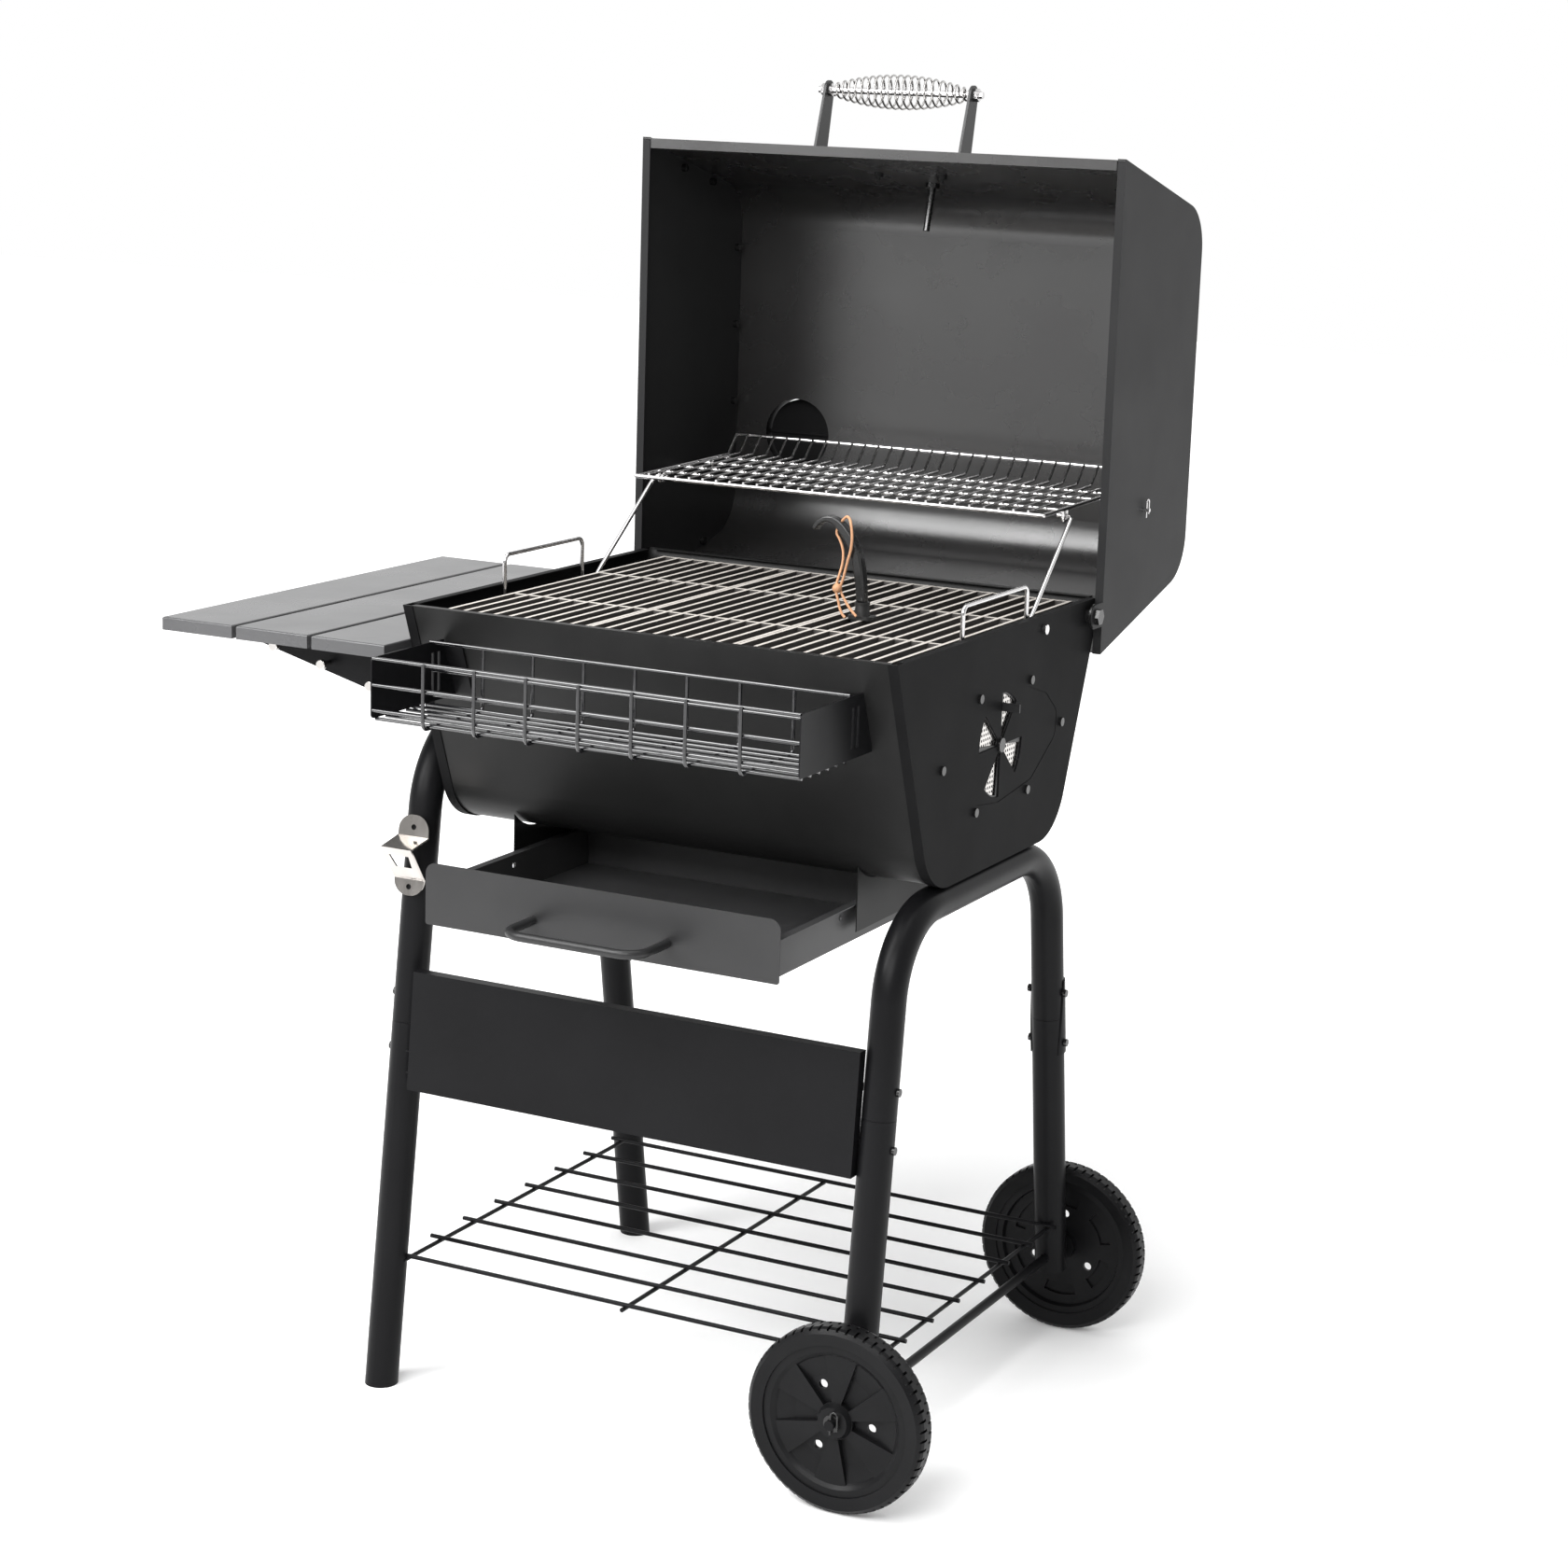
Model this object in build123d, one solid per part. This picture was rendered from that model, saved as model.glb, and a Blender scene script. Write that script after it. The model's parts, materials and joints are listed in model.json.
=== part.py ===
from build123d import *
import os
from math import atan, cos, hypot, pi, radians, sin, sqrt, tan

# Charcoal barrel grill on a wheeled leg frame, lid standing open.
# Working frame in mm: X along the barrel, -Y the front, Z up from the floor, X = Y = 0 at the barrel's middle.
# Every node is moved at the end so that the origin is the bottom centre of the whole object.

SHEET = 1.2            # sheet steel
WIRE = 2.5             # radius of the heavier wires

BODY_HALF = 300.0      # half length of the fire box over its end plates
RIM_Z = 903.0
RIM_HALF = 273.0
FLOOR_Z = 640.0
FLOOR_HALF = 171.5
BODY_CORNER = 72.0
BODY_SLOPE = (RIM_HALF - FLOOR_HALF) / (RIM_Z - FLOOR_Z)

LID_HALF = 311.0
LID_Z = 903.5
LID_OPEN_HALF = 281.3
LID_TOP_Z = 1164.1
LID_TOP_HALF = 213.8
LID_CORNER = 58.0
LID_SLOPE = (LID_OPEN_HALF - LID_TOP_HALF) / (LID_TOP_Z - LID_Z)
HINGE_Y = 234.5
HINGE_Z = 885.1
HINGE_PIN = 4.0

# parallelogram that carries the warming rack: both cranks have the same vector in the YZ plane
CRANK_Y = 131.5
CRANK_Z = 109.3
LEG_PIVOT_Y = 105.1
LEG_PIVOT_Z = 887.7
RACK_HALF = 265.0

TUBE = 19.0            # leg tube radius
TUBE_WALL = 1.5
# x and z of the top tube, lean in X per mm of drop, middle and half width in Y at the top, splay per mm of drop
LEFT_TOP = (-321.5, 757.0, 0.0155, 0.0, 180.4, 0.1475)
RIGHT_TOP = (284.5, 620.9, 0.0104, -19.0, 202.0, 0.125)
LEFT_BEND = 118.0
RIGHT_BEND = 97.0
LEFT_SEAM = 341.0
RIGHT_SEAM = 209.0

AXLE_X = 289.9
AXLE_Z = 103.4
AXLE = 5.5
AXLE_MID_Y = -19.0
WHEEL = 103.4
TYRE_INNER = 84.0
TYRE_HALF = 16.0
WHEEL_MID = 305.0

GRATE_TOP = 896.0
GRATE_HALF = 258.0
RUNNING = 0.05         # radial clearance of a turning pin

parts = {}


def along_x(sketch, start, end):
    return extrude(Plane.YZ.offset(start) * sketch, amount=end - start)


def along_y(sketch, start, end):
    return extrude(Plane.XZ.offset(-end) * sketch, amount=end - start)


def along_z(sketch, start, end):
    return extrude(Plane.XY.offset(start) * sketch, amount=end - start)


def block(x, y, z):
    size = Box(x[1] - x[0], y[1] - y[0], z[1] - z[0])
    return Pos((x[0] + x[1]) / 2, (y[0] + y[1]) / 2, (z[0] + z[1]) / 2) * size


def rod(start, end, radius):
    run = Vector(*end) - Vector(*start)
    return Part() + Solid.make_cylinder(radius, run.length, Plane(origin=start, z_dir=run))


def wire(points, radius, bend):
    path = FilletPolyline(*points, radius=bend)
    return sweep(Plane(origin=path @ 0, z_dir=path % 0) * Circle(radius), path=path)


def fuse(pieces):
    whole = Part() + pieces[0]
    return whole + pieces[1:]


def polygon(*points):
    return make_face(Polyline(*points, close=True))


def both_sides(piece):
    return Part() + [piece, mirror(piece, about=Plane.YZ)]


def screw(at, direction, radius, head, shank, length):
    at = Vector(*at)
    direction = Vector(*direction)
    cap = rod(at, at + direction * head, radius)
    return cap + rod(at - direction * length, at + direction * 0.5, shank)


# ---------------------------------------------------------------- fire box

def body_profile(inset, top, corner):
    side = inset * sqrt(1 + BODY_SLOPE ** 2)
    low = FLOOR_HALF + inset * BODY_SLOPE - side
    high = FLOOR_HALF + (top - FLOOR_Z) * BODY_SLOPE - side
    bottom = FLOOR_Z + inset
    outline = polygon((-high, top), (-low, bottom), (low, bottom), (high, top))
    return fillet(outline.vertices().sort_by(Axis.Y)[:2], corner)


END_IN = BODY_HALF - SHEET
GRATE_LEDGE_Z = 879.4
OPENING_X = 195.0
OPENING_Y = 128.0
VENT_Z = 774.0
VENT_RADIUS = 58.0
VENT_SCREWS = [(-62, 835), (76, 835), (168.7, 772), (77, 710), (-63, 710), (-154, 772.6)]


def firebox_wrap():
    outer = body_profile(SHEET, RIM_Z, BODY_CORNER + 2)
    inner = body_profile(2 * SHEET, RIM_Z + 5, BODY_CORNER + 2 - SHEET)
    shell = along_x(outer - inner, -END_IN, END_IN)
    lips = [block((-290, 290), (s - 4.5, s + 4.5), (RIM_Z - SHEET, RIM_Z)) for s in (-266.5, 266.5)]
    level = (GRATE_LEDGE_Z, GRATE_LEDGE_Z + 1.2)
    ledges = [block((-290, 290), (s - 8.4, s + 8.4), level) for s in (-253.6, 253.6)]
    shell = fuse([shell] + lips + ledges)
    return shell - block((-OPENING_X, OPENING_X), (-OPENING_Y, OPENING_Y), (FLOOR_Z - 5, FLOOR_Z + 5))


def firebox_end():
    plate = along_x(body_profile(0, RIM_Z, BODY_CORNER), END_IN, BODY_HALF)
    inner = body_profile(SHEET, RIM_Z + 5, BODY_CORNER - SHEET)
    flange = along_x(body_profile(0, RIM_Z, BODY_CORNER) - inner, BODY_HALF - 12, END_IN)
    top = block((BODY_HALF - 9, END_IN), (-255, 255), (RIM_Z - SHEET, RIM_Z))
    end = fuse([plate, flange, top])
    end -= rod((END_IN - 1, LEG_PIVOT_Y, LEG_PIVOT_Z), (BODY_HALF + 1, LEG_PIVOT_Y, LEG_PIVOT_Z), WIRE + RUNNING)
    return end - rod((END_IN - 1, HINGE_Y, HINGE_Z), (BODY_HALF + 1, HINGE_Y, HINGE_Z), HINGE_PIN + RUNNING)


def vent_wedge(turn, span, inner, outer):
    sector = polygon((0, 0), (2 * outer, 0), (2 * outer * cos(radians(span)), 2 * outer * sin(radians(span))))
    return Rot(0, 0, turn) * (sector & (Circle(outer) - Circle(inner)))


def vent_wedges(outer, first, span):
    wedges = [vent_wedge(first + 90 * k, span, 9, outer) for k in range(4)]
    return Pos(0, VENT_Z) * (Sketch() + wedges)


VENT_GROOVE = [(70.7, 827.6), (122, 813), (155.8, 787.3), (153.9, 759.5), (88.9, 720.3), (-0.7, 710.4),
               (-56.5, 716.8)]
VENT_FIRST = 48.0
VENT_SPAN = 42.0


def firebox_end_right():
    end = firebox_end()
    end -= along_x(vent_wedges(VENT_RADIUS, VENT_FIRST, VENT_SPAN), END_IN - 1, BODY_HALF + 1)
    for y, z in VENT_SCREWS:
        end -= rod((END_IN - 1, y, z), (BODY_HALF + 1, y, z), 2.6)
    groove = FilletPolyline(*VENT_GROOVE, radius=14)
    end -= along_x(trace(groove, 1.6), BODY_HALF - 0.5, BODY_HALF + 1)
    return end - rod((END_IN - 1, 0, VENT_Z), (BODY_HALF + 1, 0, VENT_Z), 4.1)


def firebox_screws():
    heads = []
    for y, z in VENT_SCREWS:
        head = screw((BODY_HALF, y, z), (1, 0, 0), 5.0, 3.0, 2.5, 5.0)
        heads.append(head + Pos(BODY_HALF - 3.2, y, z) * Rot(0, 90, 0) * (Cylinder(5, 3.0) - Cylinder(2.4, 3.0)))
    return Part() + heads + damper_rivet()


def vent_mesh():
    cup = Circle(67) - Circle(65.8)
    rim = along_x(Pos(0, VENT_Z) * cup, 296.0, END_IN)
    face = along_x(Pos(0, VENT_Z) * (Circle(67) - Circle(4.1)), 295.8, 296.6)
    holes = Sketch() + [Pos(0, VENT_Z) * loc * Rectangle(2.8, 2.8) for loc in GridLocations(5.6, 5.6, 21, 21)
                        if 12 < hypot(loc.position.X, loc.position.Y) < 61]
    return fuse([rim, face]) - along_x(holes, 295, 297)


def side_damper():
    disc = Circle(61) - Circle(4 + RUNNING)
    plate = along_x(Pos(0, VENT_Z) * disc - vent_wedges(56, VENT_FIRST, VENT_SPAN - 6), 297.3, 298.4)
    tab = block((297.3, 320.0), (1.0, 3.0), (811.5, 821))
    return fuse([plate, tab])


def damper_rivet():
    shank = rod((294.5, 0, VENT_Z), (300.5, 0, VENT_Z), 4.0)
    heads = [rod((300.0, 0, VENT_Z), (302.5, 0, VENT_Z), 8.0), rod((292.4, 0, VENT_Z), (295.6, 0, VENT_Z), 8.0)]
    return fuse([shank] + heads)


# ---------------------------------------------------------------- ash chute and drawer

CHUTE_X = 216.0
CHUTE_Y = 172.0
DRAWER_FRONT_Y = -351.2
DRAWER_BACK_Y = -25.0
PAN_X = 205.0


def ash_chute():
    sides = []
    for x in (CHUTE_X - SHEET, -CHUTE_X):
        sides.append(block((x, x + SHEET), (-CHUTE_Y, CHUTE_Y), (588, 672)))
    back = block((-CHUTE_X, CHUTE_X), (CHUTE_Y - SHEET, CHUTE_Y), (588, 672))
    guide = block((207.0, CHUTE_X - 0.5), (-CHUTE_Y, CHUTE_Y - 1), (614.9, 616.1))
    flange = block((198.0, CHUTE_X - 0.5), (-112, 112), (FLOOR_Z - SHEET, FLOOR_Z))
    chute = fuse(sides + [back, guide, mirror(guide, about=Plane.YZ), flange, mirror(flange, about=Plane.YZ)])
    clear = body_profile(-0.3, RIM_Z + 5, BODY_CORNER) - Pos(0, FLOOR_Z - 5) * Rectangle(230, 10)
    return chute - along_x(clear, -230, 230)


def drawer_pan():
    front = DRAWER_FRONT_Y + SHEET
    outer = block((-PAN_X, PAN_X), (front, DRAWER_BACK_Y), (574, 618))
    inner = block((-PAN_X + SHEET, PAN_X - SHEET), (front + SHEET, DRAWER_BACK_Y - SHEET), (574 + SHEET, 619))
    lip = block((PAN_X - 0.5, 213.5), (front, DRAWER_BACK_Y), (618 - SHEET, 618))
    pan = fuse([outer - inner, lip, mirror(lip, about=Plane.YZ)])
    return pan - rod((-230, -190, 606), (230, -190, 606), 3.2)


def drawer_front():
    outline = Rectangle(2 * CHUTE_X, 69)
    top = fillet(outline.vertices().sort_by(Axis.Y)[-2:], 12)
    bottom = fillet(top.vertices().sort_by(Axis.Y)[:2], 3)
    return along_y(Pos(0, 606.5) * bottom, DRAWER_FRONT_Y, DRAWER_FRONT_Y + SHEET)


def drawer_handle():
    y = DRAWER_FRONT_Y
    path = [(-80, y, 596), (-80, -415, 596), (84, -415, 596), (84, y, 596)]
    return wire(path, 5.0, 24)


# ---------------------------------------------------------------- legs

def leg_point(top, drop, side):
    x, z, lean, middle, half, splay = top
    return Vector(x + lean * drop, middle + side * (half + splay * drop), z - drop)


def leg_frame(top, seam, bend):
    ends = [leg_point(top, seam, -1), leg_point(top, 0, -1), leg_point(top, 0, 1), leg_point(top, seam, 1)]
    path = FilletPolyline(*ends, radius=bend)
    return sweep(Plane(origin=path @ 0, z_dir=path % 0) * (Circle(TUBE) - Circle(TUBE - TUBE_WALL)), path=path)


def leg_axis(top, side):
    run = leg_point(top, 100, side) - leg_point(top, 0, side)
    return run.normalized()


def lower_leg(top, seam, end, side):
    axis = leg_axis(top, side)
    start = leg_point(top, seam, side)
    length = (leg_point(top, end, side) - start).length
    tube = Plane(origin=start + axis * 0.4, z_dir=axis) * extrude(Circle(TUBE) - Circle(TUBE - TUBE_WALL), length)
    ring = Circle(TUBE - TUBE_WALL - 0.3) - Circle(TUBE - 3.2)
    spigot = Plane(origin=start - axis * 62, z_dir=axis) * extrude(ring, 90)
    collar = Plane(origin=start + axis * 0.4, z_dir=axis) * extrude(Circle(TUBE - 0.5) - Circle(TUBE - 3.2), 10)
    return fuse([tube, spigot, collar])


def leg_screw_places(top, seam, side):
    places = []
    across = Vector(1, 0, 0)
    for offset in (-31, 31):
        centre = leg_point(top, seam + offset, side)
        places.append((centre, across))
        places.append((centre, across * -1))
    return places


LEGS = [(LEFT_TOP, LEFT_SEAM, 770, -1), (LEFT_TOP, LEFT_SEAM, 770, 1),
        (RIGHT_TOP, RIGHT_SEAM, 534, -1), (RIGHT_TOP, RIGHT_SEAM, 534, 1)]


def all_leg_screws():
    holes = []
    heads = []
    for top, seam, end, side in LEGS:
        reach = 2.2 if top is RIGHT_TOP and side > 0 else 0.1
        for centre, across in leg_screw_places(top, seam, side):
            start = centre + across * (TUBE + reach)
            heads.append(screw(start, across, 4.5, 3.0, 2.2, reach + 6.0))
            holes.append(rod(centre + across * 10, centre + across * 25, 2.5))
    return heads, holes


def splice_plate():
    top, seam, end, side = LEGS[3]
    axis = leg_axis(top, side)
    start = leg_point(top, seam - 45, side)
    ring = extrude(Circle(TUBE + 1.8) - Circle(TUBE + 0.3), 90)
    sleeve = Plane(origin=start, z_dir=axis, x_dir=(1, 0, 0)) * ring
    return sleeve & block((200, 400), (start.Y + 5 * top[5], start.Y + 60), (300, 600))


# ---------------------------------------------------------------- axle and wheels

def axle():
    reach = WHEEL_MID + 24.7
    shaft = rod((AXLE_X, AXLE_MID_Y - reach, AXLE_Z), (AXLE_X, AXLE_MID_Y + reach, AXLE_Z), AXLE)
    for side in (-1, 1):
        y = AXLE_MID_Y + side * (WHEEL_MID + 21.2)
        shaft -= rod((AXLE_X, y, AXLE_Z - 10), (AXLE_X, y, AXLE_Z + 10), 1.4)
    return shaft


def axle_pins():
    pieces = []
    for side in (-1, 1):
        for inner, outer in ((WHEEL_MID - 17.4, WHEEL_MID - 8.9), (WHEEL_MID + 17.1, WHEEL_MID + 18.5)):
            start = (AXLE_X, AXLE_MID_Y + side * inner, AXLE_Z)
            end = (AXLE_X, AXLE_MID_Y + side * outer, AXLE_Z)
            pieces.append(rod(start, end, 9.5) - rod(start, end, AXLE + RUNNING))
        y = AXLE_MID_Y + side * (WHEEL_MID + 21.2)
        points = [(AXLE_X, y, AXLE_Z - 11), (AXLE_X, y, AXLE_Z + 14), (AXLE_X + 8, y, AXLE_Z + 14),
                  (AXLE_X + 8, y, AXLE_Z - 6)]
        pieces.append(wire(points, 1.2, 3.6))
    return Part() + pieces


def tyre():
    half = TYRE_HALF
    outline = polygon((TYRE_INNER, -half + 5), (WHEEL - 6, -half), (WHEEL - 1.5, -half + 4), (WHEEL, -half + 8),
                      (WHEEL, half - 8), (WHEEL - 1.5, half - 4), (WHEEL - 6, half), (TYRE_INNER, half - 2))
    ring = revolve(Plane.XZ * outline, Axis.Z)
    grooves = []
    count = 60
    for k in range(count):
        for z, turn in ((9.5, 0), (-9.5, 180 / count)):
            grooves.append(Rot(0, 0, turn + 360 * k / count) * Pos(WHEEL - 0.5, 0, z) * Box(5, 2.8, 15))
    return ring - grooves


def wheel_disc():
    edge = TYRE_INNER
    outline = polygon((AXLE + RUNNING, -8.3), (17, -8.3), (17, 0), (74, -3), (76, -9), (edge, -9), (edge, 12),
                      (76, 12), (72, 9), (20, 10), (17, 16.8), (AXLE + RUNNING, 16.8))
    disc = revolve(Plane.XZ * outline, Axis.Z)
    scoop = revolve(Plane.XZ * polygon((18, 3.2), (50, 3.2), (70, 7.0), (77, 14), (77, 20), (18, 20)), Axis.Z)
    scoop &= along_z(Sketch() + [vent_wedge(60 * k - 18, 30, 20.5, 80) for k in range(6)], 0, 20)
    holes = [Rot(0, 0, 120 * k - 3) * Pos(40, 0, 0) * Cylinder(5, 60) for k in range(3)]
    slots = [vent_wedge(60 * k - 24.5, 38, 50, 63) for k in range(6)]
    return disc - scoop - holes - along_z(Sketch() + slots, -12, 1.2)


def place_wheel(piece, side, turn):
    y = AXLE_MID_Y + side * WHEEL_MID
    return Pos(AXLE_X, y, AXLE_Z) * Rot(-90 * side, 0, 0) * Rot(0, 0, turn) * piece


# ---------------------------------------------------------------- shelf and front panel

SHELF_Z = 148.6


def wire_shelf(legs):
    runs = 8
    wires = []
    for k in range(runs):
        y = -266 + 486 * k / (runs - 1)
        wires.append(rod((-306, y, SHELF_Z), (306, y, SHELF_Z), WIRE))
    for x in (-294, -6, 294):
        wires.append(rod((x, -272, SHELF_Z - 4.4), (x, 226, SHELF_Z - 4.4), WIRE))
    shelf = fuse(wires) - legs
    return Part() + shelf.solids().sort_by(SortBy.VOLUME)[-1]


PANEL_X = (-288.6, 270.0)


def front_panel(legs):
    top = (-264.0, 486.0)
    bottom = (-276.0, 350.6)
    out = [top, bottom, (bottom[0] + 14, bottom[1]), (bottom[0] + 14, bottom[1] + 1.2),
           (bottom[0] + 1.4, bottom[1] + 1.2), (top[0] + 1.2, top[1] - 1.2), (top[0] + 14, top[1] - 1.2),
           (top[0] + 14, top[1])]
    skin = along_x(polygon(*out), PANEL_X[0], PANEL_X[1])
    side = polygon(top, bottom, (bottom[0] + 14, bottom[1]), (top[0] + 14, top[1]))
    ends = [along_x(side, PANEL_X[1] - SHEET, PANEL_X[1]), along_x(side, PANEL_X[0], PANEL_X[0] + SHEET)]
    tabs = []
    for z in (365, 390):
        tabs.append(block((PANEL_X[0] - 11, PANEL_X[0] + 1), (-262, -228), (z, z + 1.5)))
        tabs.append(block((PANEL_X[1] - 5, PANEL_X[1] + 3), (-262, -232), (z, z + 1.5)))
    return fuse([skin] + ends + tabs) - legs


# ---------------------------------------------------------------- side table

TABLE_Z = 862.5
SLAT_X = (-602.0, -500.0, -398.0)
SLAT_WIDTH = 96.0
SLAT_Y = (-306.0, 268.0)
BRACKET_FRONT_Y = -241.2
BRACKET_REAR_Y = 203.2


def table_slat(x):
    outer = Box(SLAT_WIDTH, SLAT_Y[1] - SLAT_Y[0], 15)
    outer = fillet(outer.edges().group_by(Axis.Z)[-1], 2.2)
    inner = Pos(0, 0, -SHEET) * Box(SLAT_WIDTH - 2 * SHEET, SLAT_Y[1] - SLAT_Y[0] - 2 * SHEET, 15)
    return Pos(x + SLAT_WIDTH / 2, (SLAT_Y[0] + SLAT_Y[1]) / 2, TABLE_Z - 7.5) * (outer - inner)


def table_bracket(y, inward):
    top = TABLE_Z - 15.0
    web = polygon((-560, top), (-560, top - 2), (-301.5, 780), (-301.5, top))
    plate = along_y(web, min(y, y + inward * 1.5), max(y, y + inward * 1.5))
    depth = sorted((y, y + inward * 16))
    flange = block((-560, -301.5), depth, (top - 1.5, top))
    foot = block((-301.5, -300.0), depth, (816, top))
    return fuse([plate, flange, foot])


PEGS = [(-484.0, 834.5), (-419.0, 820.5), (-353.5, 803.5)]


def table_pegs():
    pegs = []
    for x, z in PEGS:
        stem = rod((x, BRACKET_FRONT_Y - 16, z), (x, BRACKET_FRONT_Y, z), 3.0)
        knob = Pos(x, BRACKET_FRONT_Y - 16, z) * Rot(90, 0, 0) * Cylinder(6.0, 5)
        pegs.append(stem + fillet(knob.edges(), 1.0))
    return Part() + pegs


# ---------------------------------------------------------------- tool basket on the front

BASKET_X = 256.0
BASKET_FRONT_Y = -397.0
BASKET_BACK_Y = -287.0
BASKET_WIRE = 2.0


def basket_wires():
    pieces = []
    reach = BASKET_X - 1.5
    for z in (867, 838.5, 811):
        pieces.append(rod((-reach, BASKET_FRONT_Y, z), (reach, BASKET_FRONT_Y, z), BASKET_WIRE))
    for z in (869, 838.5, 811):
        pieces.append(rod((-reach, BASKET_BACK_Y, z), (reach, BASKET_BACK_Y, z), BASKET_WIRE))
    for k in range(6):
        y = -391 + 98 * k / 5
        pieces.append(rod((-reach, y, 801), (reach, y, 801), BASKET_WIRE))
    front = BASKET_FRONT_Y - 3.4
    back = BASKET_BACK_Y + 3.4
    for k in range(-3, 4):
        x = 63 * k
        points = [(x, front, 868), (x, front, 797.6), (x, back, 797.6), (x, back, 870)]
        pieces.append(wire(points, BASKET_WIRE, 8))
    return fuse(pieces)


def body_front(z, gap):
    return -(FLOOR_HALF + (z - FLOOR_Z) * BODY_SLOPE) - gap


def basket_end():
    front = BASKET_FRONT_Y - 2
    web = polygon((front, 802), (body_front(802, 0.2), 802), (body_front(868, 0.2), 868), (front, 868))
    plate = along_x(fillet(web.vertices().sort_by(Axis.X)[:2], 5), BASKET_X - 1.5, BASKET_X)
    tab = polygon((body_front(806, 0.2), 806), (body_front(864, 0.2), 864), (body_front(864, 1.7), 864),
                  (body_front(806, 1.7), 806))
    slots = [block((250, 260), (y - 2.5, y + 2.5), (812, 856)) for y in (-282.0, -270.0)]
    return fuse([plate, along_x(tab, BASKET_X - 24, BASKET_X)]) - slots


# ---------------------------------------------------------------- bottle opener on the front left leg

OPENER_Z = 608.0


def bottle_opener():
    seat = leg_point(LEFT_TOP, LEFT_TOP[1] - OPENER_Z, -1)
    side = Polyline((0, 46), (0, 21), (-33, 9), (-4, -23), (0, -27), (0, -46))
    strip = along_x(trace(side, 2.0), -20, 20)
    outline = fillet(Rectangle(40, 92).vertices(), 18)
    strip &= along_y(outline, -60, 20)
    mouth = polygon((-13, 1), (13, 1), (11, -13), (-10, -13))
    strip -= along_y(mouth, -60, 20)
    for z in (32, -36):
        strip -= rod((0, -30, z), (0, 20, z), 3.2)
    lean = -atan(LEFT_TOP[5]) * 180 / pi
    return Pos(seat.X, seat.Y - (TUBE + 1.5), OPENER_Z) * Rot(lean, 0, 0) * strip


# ---------------------------------------------------------------- charcoal tray and grates

def charcoal_tray():
    half = 191.0
    outer = block((-284, 284), (-half, half), (699, 719))
    inner = block((-282.5, 282.5), (-half + 1.5, half - 1.5), (700.5, 720))
    slots = []
    for x in range(-240, 241, 40):
        for y in (-95, 95):
            slots.append(block((x - 6, x + 6), (y - 70, y + 70), (690, 705)))
    return outer - inner - slots


def tray_handle():
    x = 286.5
    return wire([(x, -86, 705), (x, -86, 937), (x, 86, 937), (x, 86, 705)], WIRE, 9)


GRATE_CROSS = (-94.0, 97.0)


def cooking_grate(start, end):
    bars = 10
    top = GRATE_TOP
    section = polygon((-2.3, top), (2.3, top), (1.7, top - 13), (-1.7, top - 13))
    pieces = []
    for k in range(bars):
        x = start + 2.3 + (end - start - 4.6) * k / (bars - 1)
        pieces.append(along_y(Pos(x, 0) * section, -GRATE_HALF, GRATE_HALF))
    for y in (-GRATE_HALF + 3, GRATE_CROSS[0], GRATE_CROSS[1], GRATE_HALF - 3):
        pieces.append(block((start + 2, end - 2), (y - 3, y + 3), (top - 15.2, top - 0.3)))
    return fuse(pieces)


# ---------------------------------------------------------------- lid, drawn closed then swung open

def lid_profile(inset, low, corner):
    side = inset * sqrt(1 + LID_SLOPE ** 2)
    top = LID_TOP_Z - inset
    high = LID_TOP_HALF + inset * LID_SLOPE - side
    wide = LID_OPEN_HALF + (LID_Z - low) * LID_SLOPE - side
    outline = polygon((-wide, low), (-high, top), (high, top), (wide, low))
    return fillet(outline.vertices().sort_by(Axis.Y)[-2:], corner)


LID_IN = LID_HALF - SHEET
EXHAUST_X = -222.0
EXHAUST_Y = 92.0
RACK_PIVOT = (HINGE_Y - CRANK_Z, HINGE_Z + CRANK_Y)
FACE_UP = (0.2507, 0.9681)
FACE_OUT = (-0.9681, 0.2507)
HANDLE_BASE = 42.4
HANDLE_OUT = 75.9
NAMEPLATE_BOLTS = (-52.0, 32.0)
LID_STUDS = [(-141, 1147.0), (-44, 1147.0), (54, 1147.0), (227, 1074), (-243, 1002.5), (-225, 1075.6)]


def face_point(up, out):
    y = -LID_OPEN_HALF + FACE_UP[0] * up + FACE_OUT[0] * out
    z = LID_Z + FACE_UP[1] * up + FACE_OUT[1] * out
    return y, z


def lid_wrap():
    outer = lid_profile(SHEET, LID_Z, LID_CORNER + 1)
    inner = lid_profile(2 * SHEET, LID_Z - 5, LID_CORNER + 1 - SHEET)
    shell = along_x(outer - inner, -LID_IN, LID_IN)
    lip = block((-300, 300), (-279.4, -268.5), (LID_Z, LID_Z + SHEET))
    shell = fuse([shell, lip])
    shell -= Pos(EXHAUST_X, EXHAUST_Y, LID_TOP_Z) * Cylinder(45, 20)
    for x in NAMEPLATE_BOLTS:
        y, z = face_point(123.4, 0)
        shell -= Pos(x, y, z) * Rot(75.48, 0, 0) * Cylinder(2.6, 20)
    y, z = face_point(170, 0)
    return shell - Pos(-1, y, z) * Rot(75.48, 0, 0) * Cylinder(4.1, 20)


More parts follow.
